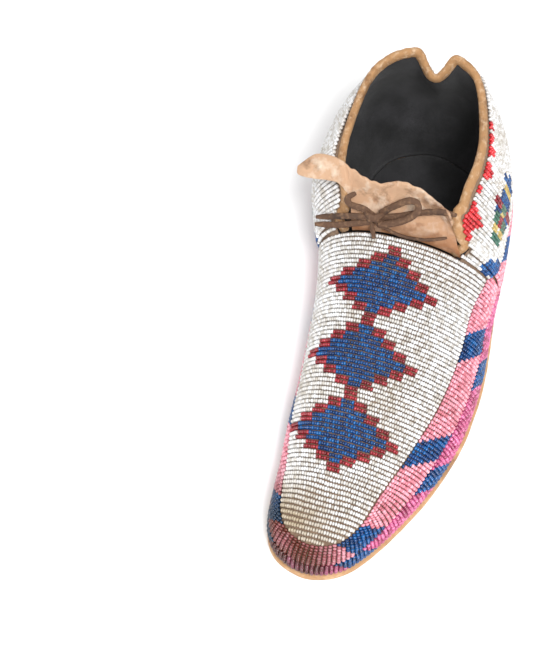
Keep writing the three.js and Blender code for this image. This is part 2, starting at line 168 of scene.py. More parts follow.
def strap(name, points, width, thickness, facing, tip=0.5, seed=0, sides=10, wobble=0.12):
    """A flat thong swept along points: facing is the way its broad side looks. Its ends
    taper to tip of the width, and its width and faces waver as cut hide does."""
    run = unit(np.gradient(points, axis=0))
    facing = np.asarray(facing, float)
    broad = unit(facing - run * (run * facing).sum(-1, keepdims=True))
    across = np.cross(run, broad)
    length = distances_along(points)
    verts = []
    turns = np.linspace(0, 2 * math.pi, sides, endpoint=False)
    for i, here in enumerate(points):
        waver = 1 + wobble * noise.noise(Vector((length[i] * 0.35, seed * 7.3, 1)))
        to_end = min(length[i] + 0.6, length[-1] - length[i] + 0.6)
        taper = tip + (1 - tip) * min(to_end / (1.6 * width), 1)
        for turn in turns:
            spot = Vector((length[i] * 0.6, math.cos(turn) * 2, math.sin(turn) * 2 + seed))
            grain = 1 + 0.09 * noise.noise(spot)
            half_wide = 0.5 * width * waver * taper * grain
            half_thick = 0.5 * thickness * grain * (0.6 + 0.4 * taper)
            edge = np.sign(math.cos(turn)) * abs(math.cos(turn)) ** 0.7
            verts.append(here + across[i] * half_wide * edge + broad[i] * half_thick * math.sin(turn))
    piece = finish_mesh(name, verts, ring_faces(len(points), sides))
    recalculate(piece)
    return piece


def ring_faces(rings, per_ring):
    """The faces that join rings of points, one after the other, with a cap at each end."""
    faces = []
    for i in range(rings - 1):
        for j in range(per_ring):
            k = (j + 1) % per_ring
            a, b = i * per_ring, (i + 1) * per_ring
            faces.append((a + j, a + k, b + k, b + j))
    faces.append(tuple(reversed(range(per_ring))))
    last = (rings - 1) * per_ring
    faces.append(tuple(last + j for j in range(per_ring)))
    return faces


def recalculate(piece):
    """Makes the faces of one closed piece look outwards."""
    work = bmesh.new()
    work.from_mesh(piece.data)
    bmesh.ops.recalc_face_normals(work, faces=work.faces)
    work.to_mesh(piece.data)
    work.free()


def new_material(name, roughness, **sockets):
    """A material and its node tree, links and shader."""
    material = bpy.data.materials.new(name)
    material.use_nodes = True
    shader = material.node_tree.nodes["Principled BSDF"]
    shader.inputs["Roughness"].default_value = roughness
    for socket, value in sockets.items():
        shader.inputs[socket.replace("_", " ")].default_value = value
    return material, material.node_tree.nodes, material.node_tree.links, shader


def add_node(nodes, kind, **values):
    node = nodes.new(kind)
    for key, value in values.items():
        if key in node.inputs:
            node.inputs[key].default_value = value
        else:
            setattr(node, key, value)
    return node


def spread(nodes, links, source, low, high, top=1):
    """Stretches the values between low and high over 0 to top."""
    level = nodes.new("ShaderNodeMapRange")
    for socket, value in (("From Min", low), ("From Max", high), ("To Max", top)):
        level.inputs[socket].default_value = value
    links.new(source, level.inputs["Value"])
    return level.outputs["Result"]


def combine(nodes, links, operation, *terms, clamp=False):
    """One sum on sockets and numbers."""
    node = add_node(nodes, "ShaderNodeMath", operation=operation)
    node.use_clamp = clamp
    for slot, term in zip(node.inputs, terms):
        if isinstance(term, (int, float)):
            slot.default_value = term
        else:
            links.new(term, slot)
    return node.outputs[0]


def mix_colours(nodes, links, share, first, second):
    """Two colours, each a socket or three numbers, mixed by a mask."""
    mix = add_node(nodes, "ShaderNodeMix", data_type="RGBA")
    links.new(share, mix.inputs[0])
    for slot, tone in ((mix.inputs[6], first), (mix.inputs[7], second)):
        if isinstance(tone, tuple):
            slot.default_value = (*tone, 1)
        else:
            links.new(tone, slot)
    return mix.outputs[2]


def hide_grain_group():
    """Colour blotches, a fine suede nap and creases for any tanned hide. Gives a mask of
    dark, handled places, a mask of pale, worn ones, and a height for the bump."""
    group = bpy.data.node_groups.new("hide_grain", "ShaderNodeTree")
    for name, start in (("Blotch Scale", 60), ("Nap Scale", 2600), ("Crease Scale", 240)):
        socket = group.interface.new_socket(name, in_out="INPUT", socket_type="NodeSocketFloat")
        socket.default_value = start
    for socket in ("Dark", "Pale", "Height"):
        group.interface.new_socket(socket, in_out="OUTPUT", socket_type="NodeSocketFloat")
    nodes, links = group.nodes, group.links
    enter = nodes.new("NodeGroupInput")
    leave = nodes.new("NodeGroupOutput")
    place = nodes.new("ShaderNodeTexCoord")

    def layer(scale_socket, detail, low, high):
        cloud = add_node(nodes, "ShaderNodeTexNoise", Detail=detail, Roughness=0.6)
        links.new(place.outputs["Object"], cloud.inputs["Vector"])
        links.new(enter.outputs[scale_socket], cloud.inputs["Scale"])
        return spread(nodes, links, cloud.outputs["Fac"], low, high)

    dark = layer("Blotch Scale", 5, 0.52, 0.72)
    pale = layer("Crease Scale", 3, 0.5, 0.75)
    nap = layer("Nap Scale", 2, 0.3, 0.7)
    links.new(dark, leave.inputs["Dark"])
    links.new(pale, leave.inputs["Pale"])
    links.new(combine(nodes, links, "MULTIPLY_ADD", pale, 1.4, nap), leave.inputs["Height"])
    return group


HIDE_GRAIN = hide_grain_group()


def hide_material(name, base, dark, pale, roughness=0.85, bump=0.35, scales=(60, 2600, 240),
                  depth=0.0004):
    """Tanned hide in three tones, blended by the grain group."""
    material, nodes, links, shader = new_material(name, roughness)
    grain = nodes.new("ShaderNodeGroup")
    grain.node_tree = HIDE_GRAIN
    for socket, value in zip(("Blotch Scale", "Nap Scale", "Crease Scale"), scales):
        grain.inputs[socket].default_value = value
    darkened = mix_colours(nodes, links, grain.outputs["Dark"], base, dark)
    links.new(mix_colours(nodes, links, grain.outputs["Pale"], darkened, pale), shader.inputs["Base Color"])
    relief = add_node(nodes, "ShaderNodeBump", Strength=bump, Distance=depth)
    links.new(grain.outputs["Height"], relief.inputs["Height"])
    links.new(relief.outputs["Normal"], shader.inputs["Normal"])
    return material


thong_hide = hide_material(
    "greased_thong", (0.09, 0.042, 0.02), (0.03, 0.014, 0.007), (0.22, 0.12, 0.06), roughness=0.7,
    bump=0.6, scales=(90, 1800, 420))
TIE_FACING = (0, -0.88, 0.48)


def tie_piece(name, route, width, thickness, seed, facing=TIE_FACING, tip=0.55):
    points = smooth_route(route)
    piece = strap(name, points, width, thickness, facing, tip=tip, seed=seed)
    piece.data.materials.append(thong_hide)
    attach(piece, "root")
    return piece, points


knot_points = [tuple(np.array(KNOT) + np.array(spot)) for spot in KNOT_ROUTE]
knot, _ = tie_piece("knot", knot_points, 3.6, 2.4, 5, tip=0.8)
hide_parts("tie_knot")

lateral_thong, lateral_points = tie_piece("lateral_thong", LATERAL_ROUTE, THONG_WIDTH, THONG_THICKNESS, 1)
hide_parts("tie_strand_lateral", "tie_end_upper")
medial_thong, medial_points = tie_piece("medial_thong", MEDIAL_ROUTE, THONG_WIDTH, THONG_THICKNESS, 2)
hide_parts("tie_strand_medial", "tie_end_lower")
bow_loop, loop_points = tie_piece("bow_loop", LOOP_ROUTE, THONG_WIDTH, 1.5, 3,
                                  facing=(0.3, 0.6, -0.75), tip=0.9)
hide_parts("tie_loop")
thin_thong, thin_points = tie_piece("thin_thong", THIN_ROUTE, 1.8, 1.4, 4)
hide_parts("tie_strand_thin")
short_end, _ = tie_piece("short_end", SHORT_ROUTE, 3.0, 1.5, 6)
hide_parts("tie_end_short")

# ---- Rawhide sole ---------------------------------------------------------------------
# One flat piece of hard rawhide, cut to the foot, golden brown and worn unevenly along
# its edge. Its outline runs through rows of [y, big-toe side x, little-toe side x].
SOLE_THICKNESS = 3.5
SOLE_MARGIN = 3.2
OUTLINE = np.array([
    (140, -4.5, -4.5), (132, -26.3, 18.7), (118, -37.1, 31.6), (94, -42.8, 40.5), (62, -43.5, 45.5),
    (28, -42, 49.5), (-8, -39, 51.2), (-42, -37, 47.7), (-72, -37, 38.5), (-98, -37, 25.8),
    (-118, -34.6, 13.1), (-129, -27.2, 1.9), (-133.5, -13, -13),
])
TOE = len(OUTLINE) - 1
MEDIAL, LATERAL = -1, 1


def outline_row(index, side):
    """The outline's point at a whole station. Past either end it carries on round."""
    over_heel, over_toe = index < 0, index > TOE
    index = np.where(over_heel, -index, np.where(over_toe, 2 * TOE - index, index))
    side = np.where(over_heel | over_toe, -side, side)
    return np.stack([np.where(side < 0, OUTLINE[index, 1], OUTLINE[index, 2]), OUTLINE[index, 0]], -1)


def outline_point(side, station):
    side, station = np.broadcast_arrays(side, np.asarray(station, float))
    start = np.floor(station).astype(int)
    t = (station - start)[..., None]
    a, b, c, d = (outline_row(start + step, side) for step in (-1, 0, 1, 2))
    return between(a, b, c, d, t)


def outline_normal(side, station):
    run = unit(outline_point(side, station + 0.01) - outline_point(side, station - 0.01))
    out = np.stack([run[..., 1], -run[..., 0]], -1)
    return out * -np.asarray(side)[..., None]


def sole_ring(grow, count=150):
    """The sole's outline, grown outwards, as points all the way round."""
    stations = np.linspace(0, TOE, count)
    sides = []
    for side in (MEDIAL, LATERAL):
        side_array = np.full(count, side)
        sides.append(outline_point(side_array, stations) + grow * outline_normal(side_array, stations))
    return np.vstack([sides[0], sides[1][::-1][1:-1]])


def make_active(piece):
    bpy.ops.object.select_all(action="DESELECT")
    piece.select_set(True)
    bpy.context.view_layer.objects.active = piece


# How far each ring of the edge is in or out, and how high, with how much wear takes off.
SOLE_EDGE = [
    (-1.2, 0, 0.5), (-0.35, 0.3, 0.7), (0, 1.1, 0.7), (0, 2.3, 0.7), (-0.4, 3.2, 0.7),
    (-1.4, SOLE_THICKNESS, 0.5),
]
rings = []
for inset, height, wear in SOLE_EDGE:
    ring = sole_ring(SOLE_MARGIN + inset)
    worn = np.array([noise.noise(Vector((x * 0.06, y * 0.06, 3))) for x, y in ring])
    ring = ring - np.abs(worn)[:, None] * unit(ring) * wear
    rings.append(np.c_[ring, np.full(len(ring), height)])
sole = finish_mesh("rawhide_sole", np.vstack(rings), ring_faces(len(rings), len(rings[0])))
recalculate(sole)
make_active(sole)
bpy.ops.object.shade_smooth_by_angle(angle=math.radians(40))
sole.data.materials.append(hide_material(
    "rawhide", (0.46, 0.25, 0.11), (0.16, 0.07, 0.03), (0.62, 0.4, 0.22), roughness=0.5, bump=0.5,
    scales=(45, 1500, 160)))
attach(sole, "root")
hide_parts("sole")

# ---- Hide upper -----------------------------------------------------------------------
# One soft hide, folded up from the sole into the vamp and two ankle flaps, sewn at the
# heel. Every layer on or in it follows the one fitted surface that is set out here.
UPPER_BASE = 3.8
THROAT_Y = 42
TOE_FOCUS_Y = -88
HEEL_FOCUS_Y = 108
PROFILE_POWER = 2.3
VAMP_LEAN = 11
VAMP_LEAN_HEIGHT = 45
MEDIAL_FULLNESS = 4.5
NOTCH_DEPTH = 12
NOTCH_REACH = 8
NOTCH_WIDTH = 9
BINDING_RADIUS = 2.6
EDGE_BELOW_COLLAR = 4.2
ROWS_TO_COLLAR = 26
ROWS_TO_RIDGE = 22
RIDGE = np.array([
    (-133, -8, 30), (-88, -6, 34), (-60, -4, 38), (-30, -3, 43), (0, -3, 48), (22, -3, 51),
    (43, -3, 57), (45, -3, 73), (50, -3, 86), (60, -3, 101), (80, -3, 112), (140, -5, 114),
])
COLLAR = np.array([
    (42, 49, 50), (46, 59, 61), (50, 70, 72), (55, 74, 75), (65, 75, 75), (80, 77, 77), (110, 80, 80),
    (140, 88, 88),
])


def ease(start, end, value):
    t = np.clip((value - start) / (end - start), 0, 1)
    return t * t * (3 - 2 * t)


def surface(side, station, climb):
    """Points of the fitted surface. climb runs 0 at the sole to 1 at the ridge."""
    side, station, climb = np.broadcast_arrays(side, np.asarray(station, float), np.asarray(climb, float))
    foot = outline_point(side, station)
    out = outline_normal(side, station)
    focus = np.clip(foot[..., 1], TOE_FOCUS_Y, HEEL_FOCUS_Y)
    ridge_x = np.interp(focus, RIDGE[:, 0], RIDGE[:, 1])
    ridge_z = np.interp(focus, RIDGE[:, 0], RIDGE[:, 2])
    angle = np.clip(climb, 0, 1) * math.pi / 2
    inward = 1 - np.maximum(np.cos(angle), 0) ** (2 / PROFILE_POWER)
    rise = np.sin(angle) ** (2 / PROFILE_POWER)
    z = UPPER_BASE + (ridge_z - UPPER_BASE) * rise
    ankle = ease(10, 80, foot[..., 1])
    height = np.minimum(z / 78, 1.2)
    swell = np.sin(math.pi * np.minimum((z - UPPER_BASE) / (45 + 25 * ankle), 1))
    to_lateral, to_medial = np.maximum(out[..., 0], 0), np.maximum(-out[..., 0], 0)
    flare = ankle * (6 * to_lateral + 4 * to_medial) * np.minimum(height, 1)
    belly = (3 + MEDIAL_FULLNESS * ease(14, 34, z)) * ankle * to_medial
    fullness = 2.5 + 4.5 * ankle + belly
    bulge = (fullness * swell + flare) * (1 - climb ** 8)
    vamp_lean = VAMP_LEAN * ease(-110, -50, focus) * (1 - ease(10, 60, focus))
    ankle_lean = 15 * ease(0, 75, focus) - 5 * ease(105, 140, foot[..., 1])
    lean = -vamp_lean * (z - UPPER_BASE) / VAMP_LEAN_HEIGHT - ankle_lean * height ** 1.3
    from_seam = np.hypot(foot[..., 0] - OUTLINE[0, 1], foot[..., 1] - OUTLINE[0, 0]) / NOTCH_WIDTH
    notch = -NOTCH_REACH * np.exp(-from_seam ** 2) * ease(40, 75, z)
    back = 17 * ease(60, 120, foot[..., 1]) * height ** 1.2 + notch
    tuck = np.where(side > 0, 6 * ease(95, 62, foot[..., 1]) * ease(43, 56, foot[..., 1]) * height ** 2, 0)
    return np.stack([
        foot[..., 0] + (ridge_x - foot[..., 0]) * inward + out[..., 0] * bulge + lean - tuck,
        foot[..., 1] + (focus - foot[..., 1]) * inward + out[..., 1] * bulge + back,
        z,
    ], -1)


def surface_normal(side, station, climb):
    side, station, climb = np.broadcast_arrays(side, np.asarray(station, float), np.asarray(climb, float))
    low = np.clip(climb - 0.01, 0.002, 0.975)
    up = surface(side, station, low + 0.02) - surface(side, station, low)
    ahead = surface(side, station + 0.03, climb) - surface(side, station - 0.03, climb)
    normal = unit(np.cross(ahead, up) * -side[..., None])
    flat = np.concatenate([outline_normal(side, station), np.zeros(side.shape + (1,))], -1)
    normal = np.where((climb < 0.03)[..., None], flat, normal)
    return np.where((climb > 0.985)[..., None], np.array([0, 0, 1.0]), normal)


def climbs_by_arc(side, station):
    """A table of climb against distance up the surface at one station."""
    climbs = np.linspace(0, 1, 201)
    points = surface(side, station, climbs)
    return climbs, distances_along(points)


def collar_climb(side, station):
    foot = outline_point(side, station)
    from_seam = np.hypot(foot[0] - OUTLINE[0, 1], foot[1] - OUTLINE[0, 0]) / NOTCH_WIDTH
    z = np.interp(foot[1], COLLAR[:, 0], COLLAR[:, 1 if side < 0 else 2])
    z = z - NOTCH_DEPTH * math.exp(-from_seam ** 2)
    focus = min(max(foot[1], TOE_FOCUS_Y), HEEL_FOCUS_Y)
    rise = (z - UPPER_BASE) / (np.interp(focus, RIDGE[:, 0], RIDGE[:, 2]) - UPPER_BASE)
    return math.asin(min(rise, 1) ** (PROFILE_POWER / 2)) * 2 / math.pi


def collar_arc(side, station, below=0.0):
    climbs, arc = climbs_by_arc(side, station)
    return float(np.interp(collar_climb(side, station), climbs, arc)) - below


def station_at(side, y):
    stations = np.linspace(0, TOE, 4001)
    return float(np.interp(-y, -outline_point(np.full(4001, side), stations)[:, 1], stations))


THROAT = station_at(MEDIAL, THROAT_Y)


def column_climbs(side, station, hem, below):
    """How far up the points of one column of a shell lie. It stops under the collar at the
    ankle, and goes over to the ridge in front of the throat."""
    climbs, arc = climbs_by_arc(side, station)
    if station <= THROAT:
        distances = np.linspace(hem, collar_arc(side, station, below), ROWS_TO_COLLAR)
    else:
        share = (station - THROAT) / (TOE - THROAT)
        corner = collar_arc(side, THROAT, below)
        corner = corner + (0.55 * arc[-1] - corner) * share
        beyond = np.linspace(corner, arc[-1], ROWS_TO_RIDGE)[1:]
        distances = np.r_[np.linspace(hem, corner, ROWS_TO_COLLAR), beyond]
    return np.interp(distances, arc, climbs)


def cover(name, inner, outer, hem=0.0, below=EDGE_BELOW_COLLAR, crumple=0.0):
    """A shell of the whole foot between two offsets from the surface, open at the sole and
    at the ankle. Each side is a sheet from heel to toe, and the two meet at the ridge."""
    rear = np.r_[np.linspace(0, 1.2, 26), np.linspace(1.2, THROAT, 40)[1:]]
    front = np.linspace(THROAT + 0.0001, TOE, 90)
    points, normals, shakes, faces = [], [], [], []
    index = {}

    def column_ids(side, station):
        climbs = column_climbs(side, station, hem, below)
        ids = []
        for point, normal in zip(surface(side, station, climbs), surface_normal(side, station, climbs)):
            key = tuple(np.round(point, 2))
            if key not in index:
                index[key] = len(points)
                points.append(point)
                normals.append(normal)
                shakes.append(crumple * noise.fractal(Vector(point * 0.045), 1.0, 2.0, 3))
            ids.append(index[key])
        return ids

    for side in (MEDIAL, LATERAL):
        columns = [column_ids(side, station) for station in np.r_[rear, front]]
        for before, after in zip(columns, columns[1:]):
            for j in range(min(len(before), len(after)) - 1):
                quad = [before[j], after[j], after[j + 1], before[j + 1]]
                quad = quad if side == MEDIAL else quad[::-1]
                clean = [v for n, v in enumerate(quad) if v != quad[n - 1]]
                if len(set(clean)) >= 3:
                    faces.append(clean)
    count = len(points)
    points, normals, shakes = np.array(points), np.array(normals), np.array(shakes)[:, None]
    both = np.vstack([points + normals * (outer + shakes), points + normals * (inner + shakes)])
    edges = {edge: True for face in faces for edge in zip(face, face[1:] + face[:1])}
    shell = [tuple(face) for face in faces] + [tuple(v + count for v in reversed(face)) for face in faces]
    shell += [(b, a, a + count, b + count) for a, b in edges if (b, a) not in edges]
    piece = finish_mesh(name, both, shell)
    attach(piece, "root")
    return piece


upper = cover("hide_upper", inner=-2.0, outer=-0.6)
# The hide shows only in the gaps between the beads. Its dark brown is partly its own tone and partly
# painted shade for those gaps.
upper.data.materials.append(hide_material(
    "upper_hide_with_gap_shade", (0.2, 0.13, 0.085), (0.1, 0.06, 0.04), (0.34, 0.23, 0.15), bump=0.4))
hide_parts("upper")

# ---- Felt lining ----------------------------------------------------------------------
# Black wool felt that follows the hide inside, tacked to it under the collar and tucked in
# at the sole. It is worn into soft waves and has a grey bloom of loose fibres.
FELT_WAVES = 0.5


def felt_material(name, base, bloom):
    """Wool felt: near black, with tiny grey fibres lying on it."""
    material, nodes, links, shader = new_material(name, 1.0, Sheen_Weight=0.08, Sheen_Roughness=0.6)
    place = nodes.new("ShaderNodeTexCoord")
    fibre = add_node(nodes, "ShaderNodeTexNoise", Scale=900, Detail=4, Roughness=0.75, Distortion=2.5)
    links.new(place.outputs["Object"], fibre.inputs["Vector"])
    cloud = add_node(nodes, "ShaderNodeTexNoise", Scale=55, Detail=3)
    links.new(place.outputs["Object"], cloud.inputs["Vector"])
    both = combine(nodes, links, "MULTIPLY", fibre.outputs["Fac"], cloud.outputs["Fac"])
    ramp = nodes.new("ShaderNodeValToRGB")
    ramp.color_ramp.elements[0].position = 0.18
    ramp.color_ramp.elements[0].color = (*base, 1)
    ramp.color_ramp.elements[1].position = 0.5
    ramp.color_ramp.elements[1].color = (*bloom, 1)
    links.new(both, ramp.inputs["Fac"])
    links.new(ramp.outputs["Color"], shader.inputs["Base Color"])
    relief = add_node(nodes, "ShaderNodeBump", Strength=0.7, Distance=0.0006)
    links.new(fibre.outputs["Fac"], relief.inputs["Height"])
    links.new(relief.outputs["Normal"], shader.inputs["Normal"])
    return material


black_felt = felt_material("black_felt", (0.005, 0.005, 0.0055), (0.04, 0.039, 0.043))
lining = cover("felt_lining", inner=-4.3, outer=-2.3, hem=2.0, below=2.4, crumple=FELT_WAVES)
lining.data.materials.append(black_felt)
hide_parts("lining")

# ---- Felt insole ----------------------------------------------------------------------
# A thick felt sole laid inside on the rawhide, pressed into a shallow footprint.
INSOLE_INSET = 2.4
INSOLE_TOP = 5.8
FOOTPRINT_DEPTH = 1.0
insole_levels = [(0.0, UPPER_BASE), (0.0, INSOLE_TOP - 0.6), (0.6, INSOLE_TOP), (6, INSOLE_TOP - 0.4)]
insole_levels += [(step, INSOLE_TOP - FOOTPRINT_DEPTH * min(step / 26, 1)) for step in (12, 18, 24, 30)]
insole_rows = []
for inset, z in insole_levels:
    ring = sole_ring(-INSOLE_INSET - inset)
    insole_rows.append(np.c_[ring, np.full(len(ring), z)])
insole_faces = ring_faces(len(insole_rows), len(insole_rows[0]))
insole = finish_mesh("felt_insole", np.vstack(insole_rows), insole_faces)
recalculate(insole)
insole.data.materials.append(black_felt)
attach(insole, "root")
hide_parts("insole")

# ---- Sinew ----------------------------------------------------------------------------
# Twisted back sinew runs round the inside of the seam that joins the hide to the sole.
sinew = hide_material("twisted_sinew", (0.7, 0.6, 0.4), (0.4, 0.3, 0.18), (0.85, 0.78, 0.6), roughness=0.5)
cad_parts["sole_sinew"].data.materials.clear()
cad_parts["sole_sinew"].data.materials.append(sinew)

# ---- Beadwork on the vamp -------------------------------------------------------------
# Glass seed beads strung on thread in straight rows across the foot, each row sewn down
# through the hide. A white field carries three stepped diamonds, blue edged with maroon.
BEAD_PITCH = 1.36
ROW_PITCH = 2.42
BEAD_RADIUS = 1.15
BEAD_HALF_LENGTH = 0.67
LANE_HEIGHT_MEDIAL = 10
LANE_HEIGHT_LATERAL = 16.5
LANE_HEIGHT_AT_TOE = 12
random = np.random.default_rng(7)

bpy.ops.object.select_all(action="DESELECT")
bpy.ops.mesh.primitive_uv_sphere_add(segments=8, ring_count=4, radius=1)
pattern_bead = bpy.context.object
BEAD_POINTS = np.array([v.co for v in pattern_bead.data.vertices])
BEAD_FACES = [tuple(p.vertices) for p in pattern_bead.data.polygons]
bpy.data.objects.remove(pattern_bead)
waist = np.maximum(np.hypot(BEAD_POINTS[:, 0], BEAD_POINTS[:, 1]), 1e-6)
plump = BEAD_RADIUS * waist ** 0.6
BEAD_POINTS = np.stack([
    BEAD_HALF_LENGTH * np.sign(BEAD_POINTS[:, 2]) * np.abs(BEAD_POINTS[:, 2]) ** 0.75,
    BEAD_POINTS[:, 0] / waist * plump,
    BEAD_POINTS[:, 1] / waist * plump,
], -1)


def lane_height(side, station):
    y = outline_point(np.array(side), np.array(float(station)))[1]
    full = LANE_HEIGHT_MEDIAL if side == MEDIAL else LANE_HEIGHT_LATERAL
    return LANE_HEIGHT_AT_TOE + (full - LANE_HEIGHT_AT_TOE) * float(ease(-132, -80, y) * ease(140, 120, y))


def up_the_side(side, station, start, stop, count=40):
    """Points and normals up one side of the foot, between two distances above the sole."""
    climbs, arc = climbs_by_arc(side, station)
    picks = np.interp(np.linspace(start, stop, count), arc, climbs)
    return surface(side, station, picks), surface_normal(side, station, picks)


def string_beads(points, normals, lift=0.62, arch=0.0):
    """Centres, thread directions and outward normals of the beads on one row."""
    run = distances_along(points)
    count = max(int(round(run[-1] / BEAD_PITCH)), 1)
    at = (np.arange(count) + 0.5) / count * run[-1]

    def sample(values, where):
        return np.stack([np.interp(where, run, values[:, axis]) for axis in range(3)], -1)

    normal = unit(sample(normals, at))
    ahead = sample(points, at + 0.8) - sample(points, at - 0.8)
    thread = unit(ahead - normal * (ahead * normal).sum(-1, keepdims=True))
    rise = lift + arch * np.sin(math.pi * at / run[-1])
    centre = sample(points, at) + normal * rise[:, None]
    return {"centre": centre, "thread": thread, "normal": normal, "at": at}


def bead_piece(name, rows, node, material):
    """One mesh of all the beads of one colour. Each has its own size, tilt and tint."""
    centre = np.vstack([row["centre"] for row in rows])
    thread = np.vstack([row["thread"] for row in rows])
    normal = np.vstack([row["normal"] for row in rows])
    count = len(centre)
    normal = unit(normal + 0.1 * random.normal(size=(count, 3)))
    thread = unit(thread + 0.05 * random.normal(size=(count, 3)))
    thread = unit(thread - normal * (thread * normal).sum(-1, keepdims=True))
    across = np.cross(normal, thread)
    size = 1 + 0.045 * random.normal(size=(count, 1, 1)).clip(-2, 2)
    centre = centre + 0.06 * random.normal(size=(count, 3))
    axes = np.stack([thread, across, normal], 1)
    verts = centre[:, None, :] + np.einsum("pk,bkc->bpc", BEAD_POINTS, axes) * size
    per_bead = len(BEAD_POINTS)
    corners = np.concatenate([np.array(face) for face in BEAD_FACES])
    sizes = np.array([len(face) for face in BEAD_FACES])
    loops = (corners[None, :] + per_bead * np.arange(count)[:, None]).ravel()
    totals = np.tile(sizes, count)
    mesh = bpy.data.meshes.new(name)
    mesh.vertices.add(count * per_bead)
    mesh.vertices.foreach_set("co", (verts * MM).astype(np.float32).ravel())
    mesh.loops.add(len(loops))
    mesh.loops.foreach_set("vertex_index", loops.astype(np.int32))
    mesh.polygons.add(len(totals))
    mesh.polygons.foreach_set("loop_start", np.r_[0, np.cumsum(totals)[:-1]].astype(np.int32))
    mesh.polygons.foreach_set("loop_total", totals.astype(np.int32))
    mesh.polygons.foreach_set("use_smooth", np.ones(len(totals), bool))
    mesh.update(calc_edges=True)
    tint = mesh.attributes.new("bead_tint", "FLOAT", "POINT")
    tint.data.foreach_set("value", np.repeat(random.random(count), per_bead).astype(np.float32))
    cells = math.ceil(math.sqrt(count))
    home = np.stack([np.arange(count) % cells, np.arange(count) // cells], -1) + 0.5
    spot = BEAD_POINTS[:, 1:] / BEAD_RADIUS * 0.2
    uv = (home[:, None, :] + spot[None, corners, :]).reshape(-1, 2) / cells
    mesh.uv_layers.new(name="OFBake").data.foreach_set("uv", uv.astype(np.float32).ravel())
    piece = bpy.data.objects.new(name, mesh)
    bpy.context.collection.objects.link(piece)
    mesh.materials.append(material)
    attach(piece, "root")
    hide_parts(node)
    return piece


WORN_TOE = (-0.034, -0.128, 0.006)


def bead_grime_group():
    """Old dirt that has gathered in patches, worst at the big toe: a mask over the object."""
    group = bpy.data.node_groups.new("bead_grime", "ShaderNodeTree")
    group.interface.new_socket("Amount", in_out="INPUT", socket_type="NodeSocketFloat")
    group.interface.new_socket("Mask", in_out="OUTPUT", socket_type="NodeSocketFloat")
    nodes, links = group.nodes, group.links
    enter, leave = nodes.new("NodeGroupInput"), nodes.new("NodeGroupOutput")
    place = nodes.new("ShaderNodeTexCoord")
    broad = add_node(nodes, "ShaderNodeTexNoise", Scale=38, Detail=5, Roughness=0.65)
    links.new(place.outputs["Object"], broad.inputs["Vector"])
    patches = spread(nodes, links, broad.outputs["Fac"], 0.48, 0.78)
    strength = combine(nodes, links, "MULTIPLY", patches, enter.outputs["Amount"])
    from_toe = add_node(nodes, "ShaderNodeVectorMath", operation="DISTANCE")
    links.new(place.outputs["Object"], from_toe.inputs[0])
    from_toe.inputs[1].default_value = WORN_TOE
    near_toe = spread(nodes, links, from_toe.outputs["Value"], 0.05, 0.022, 2.2)
    toe_dirt = combine(nodes, links, "MULTIPLY", near_toe, broad.outputs["Fac"])
    worst = combine(nodes, links, "MAXIMUM", strength, toe_dirt, clamp=True)
    links.new(worst, leave.inputs["Mask"])
    return group


BEAD_GRIME = bead_grime_group()


def bead_glass(name, dark, middle, light, grime=(0.2, 0.13, 0.08), amount=0.5, roughness=0.22):
    """Opaque glass in three tints, one for each bead, with old dirt over them."""
    material, nodes, links, shader = new_material(name, roughness, Coat_Weight=0.25, Coat_Roughness=0.12)
    tint = add_node(nodes, "ShaderNodeAttribute", attribute_name="bead_tint")
    ramp = nodes.new("ShaderNodeValToRGB")
    ramp.color_ramp.elements[0].color = (*dark, 1)
    ramp.color_ramp.elements[1].color = (*light, 1)
    ramp.color_ramp.elements.new(0.5).color = (*middle, 1)
    links.new(tint.outputs["Fac"], ramp.inputs["Fac"])
    dirt = nodes.new("ShaderNodeGroup")
    dirt.node_tree = BEAD_GRIME
    dirt.inputs["Amount"].default_value = amount
    dirty = mix_colours(nodes, links, dirt.outputs["Mask"], ramp.outputs["Color"], grime)
    links.new(dirty, shader.inputs["Base Color"])
    return material


white_glass = bead_glass("white_glass", (0.44, 0.41, 0.37), (0.64, 0.63, 0.62), (0.76, 0.77, 0.79),
                         grime=(0.36, 0.29, 0.2), amount=0.5)
blue_glass = bead_glass("blue_glass", (0.0, 0.02, 0.09), (0.001, 0.045, 0.18), (0.004, 0.11, 0.34),
                        grime=(0.002, 0.02, 0.05))
maroon_glass = bead_glass("maroon_glass", (0.14, 0.006, 0.012), (0.25, 0.012, 0.02), (0.4, 0.03, 0.045),
                          grime=(0.08, 0.01, 0.01))


def chosen(row, mask):
    return {key: row[key][mask] for key in ("centre", "thread", "normal")}


def sort_by_colour(rows, colour_rule):
    """Shares out the beads of rows by colour name. The rule gives a name for each bead."""
    bins = {}
    for number, row in enumerate(rows):
        names = colour_rule(number, row)
        for colour in sorted(set(names)):
            bins.setdefault(colour, []).append(chosen(row, names == colour))
    return bins


def across_the_vamp(y):
    """The line of constant y over the vamp, from the border on one side to the other."""
    ends = []
    for side in (MEDIAL, LATERAL):
        if y >= TOE_FOCUS_Y:
            station = station_at(side, y)
            climbs, arc = climbs_by_arc(side, station)
            picks = np.interp(np.linspace(2 * lane_height(side, station) + 0.5, arc[-1], 50), arc, climbs)
            ends.append((surface(side, station, picks), surface_normal(side, station, picks)))
            continue
        points, normals = [], []
        first = station_at(side, y)
        for station in first + (TOE - first) * np.linspace(0, 1, 110) ** 3:
            foot_y = float(outline_point(np.array(side), np.array(station))[1])
            inward = np.clip((y - foot_y) / (TOE_FOCUS_Y - foot_y), 0, 1)
            climb = math.acos((1 - inward) ** (PROFILE_POWER / 2)) * 2 / math.pi
            climbs, arc = climbs_by_arc(side, station)
            if np.interp(climb, climbs, arc) < 2 * lane_height(side, station) + 0.5:
                continue
            points.append(surface(side, station, climb))
            normals.append(surface_normal(side, station, climb))
        ends.append((np.array(points).reshape(-1, 3), np.array(normals).reshape(-1, 3)))
    (left, left_normals), (right, right_normals) = ends
    return np.vstack([left, right[::-1][1:]]), np.vstack([left_normals, right_normals[::-1][1:]])


